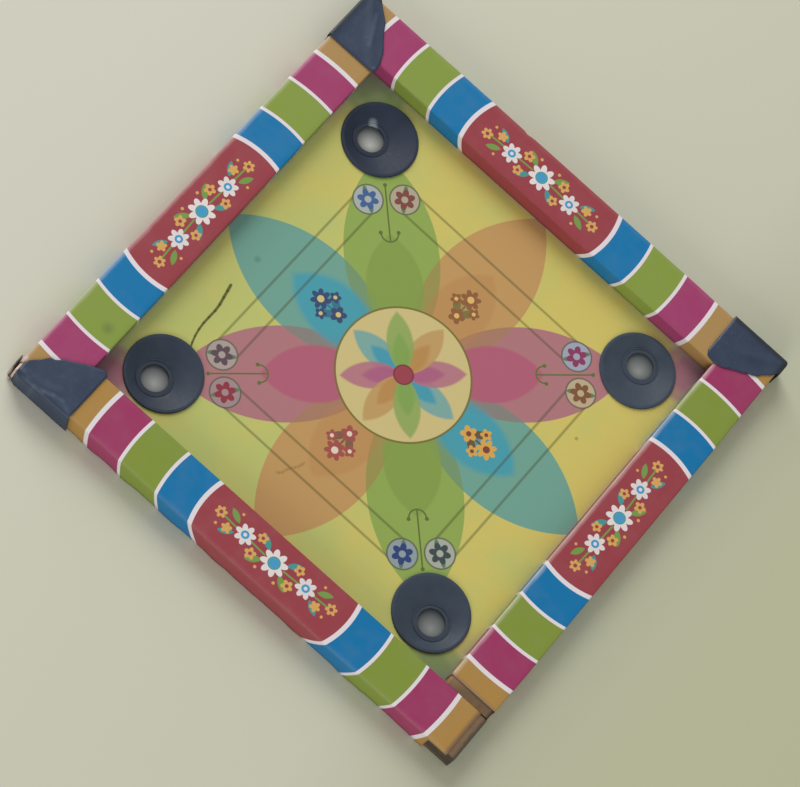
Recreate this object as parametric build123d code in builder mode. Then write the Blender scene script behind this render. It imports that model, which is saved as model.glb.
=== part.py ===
"""Small framed carrom board: four film-wrapped battens round a rebated hardboard panel, with a
printed playing sheet, four moulded pocket cups and three moulded corner guards.

The board lies flat, underside down.  The origin is the middle of its underside, +Z is up, and its
sides run along X and Y.  "Far" is +Y, "near" is -Y, "right" is +X and "left" is -X.
"""
from build123d import *
import os

# Frame of wrapped battens
board_side = 406.0  # over the wrapped battens, outer face to outer face
batten_width = 39.0
batten_height = 20.0
film_thickness = 0.25
arris_radius = 2.5  # outside of the film, along the upper edges of each rail
arris_clearance = 0.3  # how much rounder the wood is than the inside of the film
film_lap = 1.0  # how far a corner guard laps over the film on the butting rail
film_through_margin = 6.5  # bare wood between the film and the through end of a rail
film_lift = 0.4  # cut edge of the film above the underside
torn_film_length = 24.0  # outer skirt of the near film, lost towards its through end
torn_film_depth = 3.4  # how far below the top of the film the tear starts

# Panel and playing sheet
panel_thickness = 3.0
panel_lift = 1.0  # underside of the panel above the underside of the rails
sheet_thickness = 0.25
rebate_width = 12.0
panel_clearance = 0.5  # between the panel's edge and the back of the rebate

# Panel pins, driven up through the margin of the panel
pins_per_side = 4
pin_end_margin = 20.0  # from the inner face of the next batten to the nearest pin
pin_radius = 0.8
pin_length = 16.0
pin_head_radius = 2.0
pin_head_thickness = 0.7
pin_point_length = 2.0

# Nails through the through rail into the end of the butting rail
nail_spacing = 18.0
nail_radius = 1.2
nail_length = 58.0
nail_head_radius = 2.4
nail_head_thickness = 1.0
nail_point_length = 3.0
nail_hole_clearance = 0.05  # round every nail and pin
nail_level = 12.0  # height of the nails above the underside

# Pocket cups
pocket_gap = 8.3  # between the rim of a cup and the inner face of each rail beside it
cup_radius = 29.4
cup_lip_height = 1.8  # above the playing sheet
cup_lip_width = 2.2
cup_lip_round = 0.7
cup_spigot_radius = 25.7
cup_spigot_clearance = 0.3
cup_wall = 1.3
cup_lift = 0.4  # underside of the cup above the underside of the rails
pocket_hole_radius = 10.35
pocket_hole_offset = 6.0  # from the middle of the cup
cup_land_width = 3.6  # flat ring round the hole
cup_bead_width = 0.9  # raised bead at the edge of that ring
cup_bead_height = 0.5

# Corner guards
guard_wall = 1.5
guard_fit = 0.3  # between the guard and the film that it covers
guard_slack = {"far_left": 0.0, "far_right": 1.2, "near_left": 1.2}  # more, where it has come loose
guard_lift = 0.6  # lower edge of the skirts above the underside
guard_butt_reach = 48.0  # along the butting rail, from the outer corner of the frame
guard_through_reach = 13.5  # along the outer edge of the through rail, from the same corner
guard_shoulder = 5.5  # straight inner edge on the butting rail, before the slanted cut
guard_overhang = 1.0  # past the inner edge of the butting rail
guard_cut_bow = {"far_left": 3.0, "far_right": 1.8, "near_left": 0.8}  # of the slanted edge
guard_round = 2.2
guard_edge_round = 1.2  # corners of the slanted cut
crack_width = 2.0  # along the edge of the near left plate, where its short skirt has split off

# Derived sizes
half_side = board_side / 2
rail_width = batten_width + 2 * film_thickness
rail_top = batten_height + film_thickness
inner_half = half_side - rail_width  # inner face of each wrapped rail
batten_outer = half_side - film_thickness
batten_inner = inner_half + film_thickness
panel_half = batten_inner + rebate_width - panel_clearance
panel_top = panel_lift + panel_thickness
playing_level = panel_top + sheet_thickness
film_inner_radius = arris_radius - film_thickness
pocket_offset = inner_half - pocket_gap - cup_radius  # of a cup's centre, along X and along Y
cup_hole_radius = cup_spigot_radius + cup_spigot_clearance
cup_rim_level = playing_level + cup_lip_height
cup_floor_level = cup_lift + cup_wall
cup_land_radius = pocket_hole_radius + cup_land_width
pin_line = batten_inner + rebate_width / 2  # pins run down the middle of the rebate
rail_middle = half_side - rail_width / 2
film_butt_margin = guard_butt_reach - rail_width - film_lap
pin_shank_top = panel_lift + pin_length
past = 1.0  # how far a cutting shape runs past the face that it opens

# Each rail is the far rail turned about the middle, so that every corner has one rail that
# runs through and one that butts against it.  The corners are turned from the far left one.
sides = ("far", "right", "near", "left")
rail_turns = {side: -90 * place for place, side in enumerate(sides)}
corners = ("far_left", "far_right", "near_right", "near_left")
corner_turns = {corner: -90 * place for place, corner in enumerate(corners)}
# Each cup sits turned in its seat: the direction of its off-centre hole from +X.
hole_turns = {"far_left": -152, "far_right": 96, "near_right": -40, "near_left": -115}

os.makedirs("parts", exist_ok=True)


def save(piece, label):
    """Label one finished piece and write its STEP file."""
    piece.label = label
    export_step(piece, f"parts/{label}.step")


def turned(angle, height=0.0):
    """Horizontal plane at a height, turned about the middle of the board."""
    return Plane.XY.offset(height).rotated((0, 0, angle))


def end_plane(angle, length_place):
    """Plane across a rail at a place along its length: x is outwards, y is up."""
    along = Vector(1, 0, 0).rotate(Axis.Z, angle)
    outwards = Vector(0, 1, 0).rotate(Axis.Z, angle)
    return Plane(origin=along * length_place, x_dir=outwards, z_dir=along)


def outer_face_plane(angle):
    """Plane on the outer face of the batten of a rail: x along the rail, y up, z inwards."""
    along = Vector(1, 0, 0).rotate(Axis.Z, angle)
    outwards = Vector(0, 1, 0).rotate(Axis.Z, angle)
    return Plane(origin=outwards * batten_outer, x_dir=along, z_dir=-outwards)


def nail_places():
    """Places of the two nails on the outer face of a through rail, near its through end."""
    return [(-rail_middle + side * nail_spacing / 2, nail_level) for side in (-1, 1)]


def pin_places():
    """Places of the pins along one side of the panel."""
    end_pin = batten_inner - pin_end_margin
    spacing = 2 * end_pin / (pins_per_side - 1)
    return [(-end_pin + place * spacing, pin_line) for place in range(pins_per_side)]


# ---------------------------------------------------------------- battens
# Planed softwood battens.  The far rail runs from the left outer face to the inner face of the
# right rail.  A rebate in its lower inner edge takes the margin of the panel, and stops short
# of the through end.
for side, turn in rail_turns.items():
    with BuildPart() as batten:
        with BuildSketch(end_plane(turn, -half_side)) as section:
            with Locations(((batten_inner + batten_outer) / 2, batten_height / 2)):
                Rectangle(batten_width, batten_height)
            fillet(section.vertices().group_by(Axis.Z)[-1], film_inner_radius + arris_clearance)
        extrude(amount=half_side + inner_half)
        with BuildSketch(turned(turn)):
            rebate_length = panel_half + panel_clearance + inner_half + past
            rebate_depth = rebate_width + past
            with Locations(
                (inner_half + past - rebate_length / 2, batten_inner + rebate_width - rebate_depth / 2)
            ):
                Rectangle(rebate_length, rebate_depth)
        extrude(amount=playing_level, mode=Mode.SUBTRACT)
        # Pilot holes of the panel pins
        with BuildSketch(turned(turn)):
            with Locations(pin_places()):
                Circle(pin_radius + nail_hole_clearance)
        extrude(amount=pin_shank_top + nail_hole_clearance, mode=Mode.SUBTRACT)
        # Nails driven through this rail, and the sockets of their heads
        with BuildSketch(outer_face_plane(turn)):
            with Locations(nail_places()):
                Circle(nail_radius + nail_hole_clearance)
        extrude(amount=batten_width, mode=Mode.SUBTRACT)
        with BuildSketch(outer_face_plane(turn)):
            with Locations(nail_places()):
                Circle(nail_head_radius + nail_hole_clearance)
        extrude(amount=nail_head_thickness, mode=Mode.SUBTRACT)
        # Nails of the next rail, driven into the butting end of this one
        with BuildSketch(outer_face_plane(turn - 90)):
            with Locations(nail_places()):
                Circle(nail_radius + nail_hole_clearance)
        extrude(amount=nail_length + nail_hole_clearance, mode=Mode.SUBTRACT)
    save(batten.part, f"{side}_rail")

# ---------------------------------------------------------------- films
# Printed film drawn over the top and both side faces of each batten.
for side, turn in rail_turns.items():
    film_start = -half_side + film_through_margin
    film_length = half_side + inner_half - film_through_margin - film_butt_margin
    with BuildPart() as film:
        with BuildSketch(end_plane(turn, film_start)) as film_section:
            with Locations((rail_middle, rail_top / 2)):
                Rectangle(rail_width, rail_top)
            fillet(film_section.vertices().group_by(Axis.Z)[-1], arris_radius)
        extrude(amount=film_length)
        with BuildSketch(end_plane(turn, film_start)) as film_inside:
            with Locations((rail_middle, batten_height / 2)):
                Rectangle(batten_width, batten_height)
            fillet(film_inside.vertices().group_by(Axis.Z)[-1], film_inner_radius)
        extrude(amount=film_length, mode=Mode.SUBTRACT)
        # The inner skirt ends on the playing sheet, the outer one just above the underside.
        with BuildSketch(turned(turn)):
            with Locations((0, inner_half)):
                Rectangle(2 * board_side, rail_width)
        extrude(amount=playing_level, mode=Mode.SUBTRACT)
        with BuildSketch(turned(turn)):
            with Locations((0, half_side)):
                Rectangle(2 * board_side, rail_width)
        extrude(amount=film_lift, mode=Mode.SUBTRACT)
        # The nails into the next rail pass through the inner skirt.
        with BuildSketch(outer_face_plane(turn).offset(batten_width / 2)):
            with Locations(nail_places()):
                Circle(nail_radius + nail_hole_clearance)
        extrude(amount=batten_width, mode=Mode.SUBTRACT)
        if side == "near":
            with BuildSketch(turned(turn)):
                with Locations((-half_side + torn_film_length / 2, half_side)):
                    Rectangle(torn_film_length, 2 * arris_radius)
            extrude(amount=rail_top - torn_film_depth, mode=Mode.SUBTRACT)
    save(film.part, f"{side}_rail_film")

# ---------------------------------------------------------------- panel and playing sheet
# Hardboard panel let into the rebates, with a round hole for each pocket cup.
pocket_centres = {
    corner: Vector(-pocket_offset, pocket_offset).rotate(Axis.Z, turn)
    for corner, turn in corner_turns.items()
}
with BuildPart() as panel:
    with BuildSketch(Plane.XY.offset(panel_lift)):
        Rectangle(2 * panel_half, 2 * panel_half)
        with Locations(*pocket_centres.values()):
            Circle(cup_hole_radius, mode=Mode.SUBTRACT)
        for turn in rail_turns.values():
            with Locations(*[Location(turned(turn)) * Location((*place, 0)) for place in pin_places()]):
                Circle(pin_radius + nail_hole_clearance, mode=Mode.SUBTRACT)
    extrude(amount=panel_thickness)
    with BuildSketch(Plane.XY.offset(panel_lift)):
        for turn in rail_turns.values():
            with Locations(*[Location(turned(turn)) * Location((*place, 0)) for place in pin_places()]):
                Circle(pin_head_radius + nail_hole_clearance)
    extrude(amount=pin_head_thickness, mode=Mode.SUBTRACT)
save(panel.part, "board_panel")

# Printed laminate glued over the whole face of the panel.
with BuildPart() as sheet:
    with BuildSketch(Plane.XY.offset(panel_top)):
        Rectangle(2 * panel_half, 2 * panel_half)
        with Locations(*pocket_centres.values()):
            Circle(cup_hole_radius, mode=Mode.SUBTRACT)
        for turn in rail_turns.values():
            with Locations(*[Location(turned(turn)) * Location((*place, 0)) for place in pin_places()]):
                Circle(pin_radius + nail_hole_clearance, mode=Mode.SUBTRACT)
    extrude(amount=sheet_thickness)
save(sheet.part, "playing_sheet")

# ---------------------------------------------------------------- pocket cups
# Shallow moulded cups.  The rounded rim sits on the playing sheet, the floor slopes down through
# the panel to a hole that is off centre, and a bead runs round the flat ring at the hole.
for corner, centre in pocket_centres.items():
    mouth = centre + Vector(pocket_hole_offset, 0).rotate(Axis.Z, hole_turns[corner])
    with BuildPart() as cup:
        with BuildSketch(Plane.XY.offset(playing_level)):
            with Locations(centre):
                Circle(cup_radius)
        extrude(amount=cup_lip_height)
        fillet(cup.edges().group_by(Axis.Z)[-1], cup_lip_round)
        with BuildSketch(Plane.XY.offset(cup_lift)):
            with Locations(mouth):
                Circle(cup_land_radius + cup_wall / 2)
        with BuildSketch(Plane.XY.offset(playing_level)):
            with Locations(centre):
                Circle(cup_spigot_radius)
        loft()
        with BuildSketch(Plane.XY.offset(cup_floor_level)):
            with Locations(mouth):
                Circle(cup_land_radius)
        with BuildSketch(Plane.XY.offset(cup_rim_level)):
            with Locations(centre):
                Circle(cup_radius - cup_lip_width)
        loft(mode=Mode.SUBTRACT)
        with BuildSketch(Plane.XY.offset(cup_lift)):
            with Locations(mouth):
                Circle(cup_land_radius)
                Circle(cup_land_radius - cup_bead_width, mode=Mode.SUBTRACT)
        extrude(amount=cup_wall + cup_bead_height)
        with BuildSketch(Plane.XY):
            with Locations(mouth):
                Circle(pocket_hole_radius)
        extrude(amount=cup_rim_level + past, mode=Mode.SUBTRACT)
    save(cup.part, f"{corner}_pocket_cup")

# ---------------------------------------------------------------- corner guards
# Moulded caps over the corners of the frame: a plate over both rails, cut straight across the
# butting rail and on a slant across the through rail, with skirts down the outer faces.
guard_under = rail_top + guard_fit
guard_top = guard_under + guard_wall
for corner in guard_slack:
    turn = corner_turns[corner]
    guard_inside = half_side + guard_fit + guard_slack[corner]
    guard_outer = guard_inside + guard_wall
    butt_edge = half_side - guard_butt_reach
    inner_edge = -inner_half + guard_overhang
    shoulder = Vector(inner_edge, butt_edge + guard_shoulder)
    cut_end = Vector(-half_side + guard_through_reach, guard_outer)
    cut_run = (cut_end - shoulder).normalized()
    cut_middle = (shoulder + cut_end) / 2 + Vector(cut_run.Y, -cut_run.X) * guard_cut_bow[corner]
    with BuildPart() as guard:
        with BuildSketch(turned(turn, guard_lift)):
            with BuildLine():
                Polyline(
                    shoulder, (inner_edge, butt_edge), (-guard_outer, butt_edge),
                    (-guard_outer, guard_outer), cut_end,
                )
                ThreePointArc(cut_end, cut_middle, shoulder)
            make_face()
        extrude(amount=guard_top - guard_lift)
        shoulder_place = shoulder.rotate(Axis.Z, turn)
        shoulder_edges = guard.edges().filter_by(Axis.Z).sort_by_distance(shoulder_place)[0:2]
        fillet(shoulder_edges, guard_edge_round)
        outer_corner = Vector(-guard_outer, guard_outer).rotate(Axis.Z, turn)
        corner_edge = guard.edges().filter_by(Axis.Z).sort_by_distance(outer_corner)[0]
        outer_edges = [
            edge for edge in guard.faces().sort_by(Axis.Z)[-1].edges()
            if max(abs(edge.center().X), abs(edge.center().Y)) > guard_outer - guard_wall / 2
        ]
        fillet([corner_edge] + outer_edges, guard_round)
        with BuildSketch(turned(turn)):
            Rectangle(2 * guard_inside, 2 * guard_inside)
        extrude(amount=guard_under, mode=Mode.SUBTRACT)
        if corner == "near_left":
            # The crack runs from the inside of the corner out through the slanted edge.
            crack_length = guard_inside + cut_end.X + guard_shoulder
            with BuildSketch(turned(turn, guard_under)):
                with Locations((-guard_inside + crack_length / 2, guard_inside - crack_width / 2)):
                    Rectangle(crack_length, crack_width)
            extrude(amount=guard_wall + past, mode=Mode.SUBTRACT)
    save(guard.part, f"{corner}_corner_guard")

# ---------------------------------------------------------------- pins and nails
# Flat-headed panel pins, heads flush with the panel.
with BuildPart() as pins:
    for turn in rail_turns.values():
        with BuildSketch(turned(turn, panel_lift)):
            with Locations(pin_places()):
                Circle(pin_head_radius)
        extrude(amount=pin_head_thickness)
        with BuildSketch(turned(turn, panel_lift)):
            with Locations(pin_places()):
                Circle(pin_radius)
        extrude(amount=pin_length - pin_point_length)
        for place in pin_places():
            with BuildSketch(turned(turn, pin_shank_top - pin_point_length)):
                with Locations(place):
                    Circle(pin_radius)
            with BuildSketch(turned(turn, pin_shank_top)):
                with Locations(place):
                    Circle(pin_radius / 4)
            loft()
save(pins.part, "panel_pins")

# Wire nails at the four corners, heads flush with the battens.
with BuildPart() as nails:
    for turn in rail_turns.values():
        face = outer_face_plane(turn)
        with BuildSketch(face):
            with Locations(nail_places()):
                Circle(nail_head_radius)
        extrude(amount=nail_head_thickness)
        with BuildSketch(face):
            with Locations(nail_places()):
                Circle(nail_radius)
        extrude(amount=nail_length - nail_point_length)
        for place in nail_places():
            with BuildSketch(face.offset(nail_length - nail_point_length)):
                with Locations(place):
                    Circle(nail_radius)
            with BuildSketch(face.offset(nail_length)):
                with Locations(place):
                    Circle(nail_radius / 4)
            loft()
save(nails.part, "corner_nails")
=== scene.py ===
"""Looks of a small film-wrapped carrom board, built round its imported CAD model.

Lengths are in metres, in the frame of the CAD model.  Prints, grain and moulding marks are laid
out in millimetres.  The far, right, near and left rails lie along +Y, +X, -Y and -X.
"""
import math

import bmesh
import bpy
from mathutils import Matrix, Vector, noise


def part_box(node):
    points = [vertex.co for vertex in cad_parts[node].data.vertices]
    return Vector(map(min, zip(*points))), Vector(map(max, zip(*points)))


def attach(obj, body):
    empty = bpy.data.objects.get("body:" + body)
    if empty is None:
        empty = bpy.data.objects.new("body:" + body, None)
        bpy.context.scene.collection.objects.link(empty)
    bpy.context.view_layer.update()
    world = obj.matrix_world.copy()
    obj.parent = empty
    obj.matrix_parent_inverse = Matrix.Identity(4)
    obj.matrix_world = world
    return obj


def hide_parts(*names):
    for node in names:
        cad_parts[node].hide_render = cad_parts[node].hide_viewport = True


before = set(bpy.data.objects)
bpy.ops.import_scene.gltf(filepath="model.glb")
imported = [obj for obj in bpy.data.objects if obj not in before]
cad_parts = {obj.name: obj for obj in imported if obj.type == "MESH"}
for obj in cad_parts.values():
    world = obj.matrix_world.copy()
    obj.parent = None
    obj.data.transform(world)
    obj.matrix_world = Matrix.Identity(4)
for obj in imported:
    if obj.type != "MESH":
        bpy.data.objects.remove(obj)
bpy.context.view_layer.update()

# ---------------------------------------------------------------------------------------------
# Camera.  It looks down on the board from the near side, and is rolled so that the far left
# corner of the board points up.
# ---------------------------------------------------------------------------------------------
render_width = 800
focal_length = 4100  # in pixels of the render
sensor_width = 36.0

camera_data = bpy.data.cameras.new("camera")
camera_data.sensor_width = sensor_width
camera_data.lens = focal_length / render_width * sensor_width
camera = bpy.data.objects.new("camera", camera_data)
camera.location = (-0.0280, -1.2587, 2.6472)
camera.rotation_euler = [math.radians(angle) for angle in (18.910, -16.990, 38.834)]
bpy.context.scene.collection.objects.link(camera)
bpy.context.scene.camera = camera


# ---------------------------------------------------------------------------------------------
# Battens.  Four planed softwood battens make the frame, each nailed to the next in turn.  The
# print leaves the wood bare at their ends and underneath, where it is brown with handling.
# ---------------------------------------------------------------------------------------------
def add(tree, kind, sources=(), **settings):
    """Add one shader node with its settings, and feed its inputs from nodes, sockets or values."""
    made = tree.nodes.new("ShaderNode" + kind)
    for name, value in settings.items():
        setattr(made, name, value)
    for name, source in dict(sources).items():
        if isinstance(source, bpy.types.Node):
            source = next(socket for socket in source.outputs if socket.enabled)
        if isinstance(source, bpy.types.NodeSocket):
            tree.links.new(source, made.inputs[name])
        else:
            made.inputs[name].default_value = source
    return made


def linear(code):
    """Linear colour of an sRGB hex value."""
    shares = [int(code[place : place + 2], 16) / 255 for place in (0, 2, 4)]
    bright = [
        ((share + 0.055) / 1.055) ** 2.4 if share > 0.04045 else share / 12.92 for share in shares
    ]
    return (*bright, 1.0)


def material(name):
    """Start a material with an empty node tree."""
    made = bpy.data.materials.new(name)
    made.use_nodes = True
    made.node_tree.nodes.clear()
    return made, made.node_tree


def surface(tree, shader_sources):
    """Finish a material with its shader."""
    shader = add(tree, "BsdfPrincipled", shader_sources)
    add(tree, "OutputMaterial", {"Surface": shader})


def below(limit, strength=1.0, blur=0.15):
    """Range settings of a mask that fills as a value falls past a limit, blurred either way."""
    return {"From Min": limit + blur, "From Max": limit - blur, "To Max": strength}


def above(limit, strength, blur):
    """Range settings of a mask that fills as a value rises past a limit, blurred either way."""
    return {"From Min": limit - blur, "From Max": limit + blur, "To Max": strength}


def spot(tree, plane, middle, radius, strength=1.0, blur=0.15):
    """Mask of a round spot."""
    reach = add(tree, "VectorMath", {0: plane, 1: (*middle, 0)}, operation="DISTANCE")
    return add(tree, "MapRange", {"Value": reach, **below(radius, strength, blur)})


def coloured(tree, ground, layers):
    """Lay colours over a ground, each through its mask."""
    for mask, colour in layers:
        ground = add(tree, "Mix", {"Factor": mask, 6: ground, 7: colour}, data_type="RGBA")
    return ground


# Planed pine: pale early wood and darker late wood in long streaks, which differ from batten to
# batten, and matt where it is bare.
rail_turns = {"far": 0, "right": -90, "near": 180, "left": 90}
early_tone, late_tone = linear("d6b283"), linear("8f6b40")
late_wood = (7, 160, 160)  # streaks to the metre: each about 140 mm long and 6 mm wide
open_pores = (60, 1500, 1500)  # each about 17 mm long and 0.7 mm wide
bare_corner, split_corner = (203, -203), (-202.5, -199.0)
shaded_end, shaded_face, film_edge = 202.45, -200.5, -154.5  # lines along which shade is painted
raggedness = (3.5, 3.5, 0)  # of the edge of the painted shade
for side, turn in rail_turns.items():
    pine, tree = material(f"planed pine, {side} batten")
    place = add(tree, "TexCoord").outputs["Object"]
    turned = add(
        tree, "VectorRotate", {"Vector": place, "Angle": math.radians(-turn)}, rotation_type="Z_AXIS"
    )
    grain = add(tree, "Mapping", {"Vector": turned, "Location": (turn / 90, 0, 0), "Scale": late_wood})
    rings = add(tree, "TexNoise", {"Vector": grain, "Scale": 1.0, "Detail": 3.0, "Distortion": 0.4})
    pores = add(tree, "Mapping", {"Vector": turned, "Scale": open_pores})
    fibres = add(tree, "TexNoise", {"Vector": pores, "Scale": 1.0, "Detail": 2.0})
    tones = add(tree, "Mix", {"Factor": rings, 6: late_tone, 7: early_tone}, data_type="RGBA")
    streaked = add(
        tree, "Mix", {"Factor": 0.25, 6: tones, 7: fibres}, data_type="RGBA", blend_type="OVERLAY"
    )

    # Brown with handling round the bare corner, with painted shade along its bare end and outer face,
    # and pale where the near left guard has split.
    plane = add(tree, "VectorMath", {0: place, 1: (1000, 1000, 0)}, operation="MULTIPLY")
    reach = add(tree, "VectorMath", {0: plane, 1: (*bare_corner, 0)}, operation="DISTANCE")
    handled = add(tree, "MapRange", {"Value": reach, **below(62.5, 0.82, 12.5), "To Min": 0.12})
    rough_edge = add(tree, "VectorMath", {0: raggedness, 1: rings}, operation="MULTIPLY")
    parts = add(tree, "SeparateXYZ", {0: add(tree, "VectorMath", {0: plane, 1: rough_edge})})
    # Painted shade on the bare end and on the outer face by the corner.
    at_end = add(tree, "MapRange", {"Value": parts.outputs["X"], **above(shaded_end, 0.7, 0.95)})
    at_face = add(tree, "MapRange", {"Value": parts.outputs["Y"], **below(shaded_face, 0.85, 0.5)})
    painted_shade_edges = add(tree, "Math", {0: at_end, 1: at_face}, operation="MAXIMUM")
    # On the right batten, also a dark line beside the film's cut edge.
    if side == "right":
        from_film = add(tree, "Math", {0: parts.outputs["Y"], 1: film_edge}, operation="SUBTRACT")
        off_film = add(tree, "Math", {0: from_film}, operation="ABSOLUTE")
        at_film = add(tree, "MapRange", {"Value": off_film, **below(1.1, 0.4, 0.7)})
        painted_shade_edges = add(tree, "Math", {0: painted_shade_edges, 1: at_film}, operation="MAXIMUM")
    handled_wood = coloured(tree, streaked, [
        (handled, linear("46321e" if side == "right" else "5a4733")),
        (painted_shade_edges, linear("2b2723")),
        (spot(tree, plane, split_corner, 5.5, 0.8, 1.0), linear("dcc6b8")),
    ])
    relief = add(tree, "Bump", {"Height": fibres, "Strength": 0.25, "Distance": 0.0002})
    surface(tree, {"Base Color": handled_wood, "Roughness": 0.75, "IOR": 1.45, "Normal": relief})
    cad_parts[f"{side}_rail"].material_slots[0].material = pine

# Round wire nails through each through batten, their heads dull and spotted with rust.
nail_wire, tree = material("drawn steel nail")
place = add(tree, "TexCoord").outputs["Object"]
rust = add(tree, "TexNoise", {"Vector": place, "Scale": 700.0, "Detail": 4.0})
rusted = add(tree, "MapRange", {"Value": rust, "From Min": 0.5, "From Max": 0.62})
steel = add(tree, "Mix", {"Factor": rusted, 6: linear("77736c"), 7: linear("5a3d2a")}, data_type="RGBA")
surface(tree, {"Base Color": steel, "Metallic": 1.0, "Roughness": 0.45})
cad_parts["corner_nails"].material_slots[0].material = nail_wire

# ---------------------------------------------------------------------------------------------
# Rail films.  One printed film is wrapped over the top and down both faces of each batten.  It is
# a little slack, so it ripples, and its lower edge stands off the near batten in places.
# ---------------------------------------------------------------------------------------------
def stations(start, end, step):
    """Evenly spaced places from start to end, about a step apart."""
    count = max(1, round(abs(end - start) / step))
    return [start + (end - start) * place / count for place in range(count + 1)]


def folded_strip(fold, places):
    """A strip with a folded cross-section in the YZ plane, drawn out along X from place to place."""
    strip = bmesh.new()
    row = [strip.verts.new((places[0], y, z)) for y, z in fold]
    edges = [strip.edges.new(pair) for pair in zip(row, row[1:])]
    for before, after in zip(places, places[1:]):
        grown = bmesh.ops.extrude_edge_only(strip, edges=edges)["geom"]
        edges = [part for part in grown if isinstance(part, bmesh.types.BMEdge)]
        moved = [part for part in grown if isinstance(part, bmesh.types.BMVert)]
        bmesh.ops.translate(strip, verts=moved, vec=(after - before, 0, 0))
    return strip


def round_off(shape, edges, radius, segments):
    """Round some edges of a skin."""
    bmesh.ops.bevel(
        shape, geom=edges, offset=radius, segments=segments, profile=0.5, affect="EDGES", material=-1
    )


def as_piece(shape, name, finish, turn, thickness):
    """Turn a finished skin about the middle of the board and make it a piece with a wall."""
    bmesh.ops.rotate(shape, verts=shape.verts, matrix=Matrix.Rotation(math.radians(turn), 3, "Z"))
    bmesh.ops.recalc_face_normals(shape, faces=shape.faces)
    shape.normal_update()
    if sum(face.normal.z * face.calc_area() for face in shape.faces) < 0:
        bmesh.ops.reverse_faces(shape, faces=shape.faces)
    mesh = bpy.data.meshes.new(name)
    shape.to_mesh(mesh)
    shape.free()
    mesh.shade_smooth()
    mesh.materials.append(finish)
    piece = bpy.data.objects.new(name, mesh)
    bpy.context.scene.collection.objects.link(piece)
    wall = piece.modifiers.new("wall", "SOLIDIFY")
    wall.thickness = thickness
    wall.offset = -1
    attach(piece, "root")
    return piece


def petal(tree, folded, start, length, width, strength=1.0, blur=0.15):
    """Mask of a pointed petal on the X axis, between two arcs that meet at start and at its tip."""
    arc = (length**2 + width**2) / (4 * width)
    shifted = add(tree, "VectorMath", {0: folded, 1: (-start - length / 2, arc - width / 2, 0)})
    reach = add(tree, "VectorMath", {0: shifted}, operation="LENGTH")
    return add(tree, "MapRange", {"Value": reach, **below(arc, strength, blur)})


def leaf(tree, plane, root, turn, length, width):
    """Mask of one pointed leaf that grows from its root in some direction."""
    shifted = add(tree, "VectorMath", {0: plane, 1: (*root, 0)}, operation="SUBTRACT")
    turned = add(
        tree, "VectorRotate", {"Vector": shifted, "Angle": math.radians(-turn)}, rotation_type="Z_AXIS"
    )
    parts = add(tree, "SeparateXYZ", {0: turned})
    either_side = add(tree, "Math", {0: parts.outputs["Y"]}, operation="ABSOLUTE")
    folded = add(tree, "CombineXYZ", {"X": parts.outputs["X"], "Y": either_side})
    return petal(tree, folded, 0, length, width)


def stroke(tree, plane, start, end, width, strength=1.0, blur=0.15):
    """Mask of a straight line with round ends."""
    length = math.dist(start, end)
    way = ((end[0] - start[0]) / length, (end[1] - start[1]) / length, 0)
    gone = add(tree, "VectorMath", {0: plane, 1: (*start, 0)}, operation="SUBTRACT")
    along_it = add(tree, "VectorMath", {0: gone, 1: way}, operation="DOT_PRODUCT")
    kept = add(tree, "Clamp", {"Value": along_it, "Max": length})
    nearest = add(tree, "VectorMath", {0: way, "Scale": kept}, operation="SCALE")
    reach = add(tree, "VectorMath", {0: gone, 1: nearest}, operation="DISTANCE")
    return add(tree, "MapRange", {"Value": reach, **below(width / 2, strength, blur)})


def ring(tree, plane, middle, radius, line, strength=1.0):
    """Mask of a circle drawn with a line of some width."""
    reach = add(tree, "VectorMath", {0: plane, 1: (*middle, 0)}, operation="DISTANCE")
    off = add(tree, "Math", {0: reach, 1: radius}, operation="SUBTRACT")
    either = add(tree, "Math", {0: off}, operation="ABSOLUTE")
    return add(tree, "MapRange", {"Value": either, **below(line / 2, strength)})


def blossom(tree, plane, middle, radius, petals, strength=1.0):
    """Mask of a small round-petalled blossom, with notches between its petals."""
    notch = 0.58  # share of the radius
    shifted = add(tree, "VectorMath", {0: plane, 1: (*middle, 0)}, operation="SUBTRACT")
    reach = add(tree, "VectorMath", {0: shifted}, operation="LENGTH")
    round_turn = add(tree, "TexGradient", {"Vector": shifted}, gradient_type="RADIAL")
    angle = add(tree, "Math", {0: round_turn, 1: math.pi * petals}, operation="MULTIPLY")
    wave = add(tree, "Math", {0: angle}, operation="SINE")
    lobe = add(tree, "Math", {0: wave}, operation="ABSOLUTE")
    edge = add(tree, "Math", {0: lobe, 1: (notch - 1) * radius, 2: reach}, operation="MULTIPLY_ADD")
    return add(tree, "MapRange", {"Value": edge, **below(notch * radius, strength)})


film_low, film_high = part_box("far_rail_film")
rail_low, rail_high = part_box("far_rail")
playing_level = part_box("playing_sheet")[1].z  # where the inner skirt of each film ends
film_wall = 0.00022
film_arris = 0.0009
film_ripple, ripples = 0.00022, 45  # height, and about how many there are to a metre
film_slack = {"far": 0.0006, "right": 0.0010, "near": 0.0, "left": 0.0010}  # off the outer face
held_slack = 0.4  # share of it that is left where the guards hold the film
guarded_end, loosening = 0.150, 0.030  # where they hold it, and how soon it is loose
film_flare, flares = 0.0022, 55  # of the lower edge of the near film
hidden_end = 0.1630  # under three of the guards the film runs on to the end of its batten
torn_end, torn_top = -0.179, 0.0168  # the near film has lost its outer skirt past this place
dent_place, dent_depth, dent_width = -0.0479, 0.0011, 0.003  # in the outer fold of the far film
dent_drop, dent_reach = 0.006, 0.002  # down and in from the fold
skirt_step, top_step = 0.004, 0.005
tolerance = 1e-6

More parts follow.
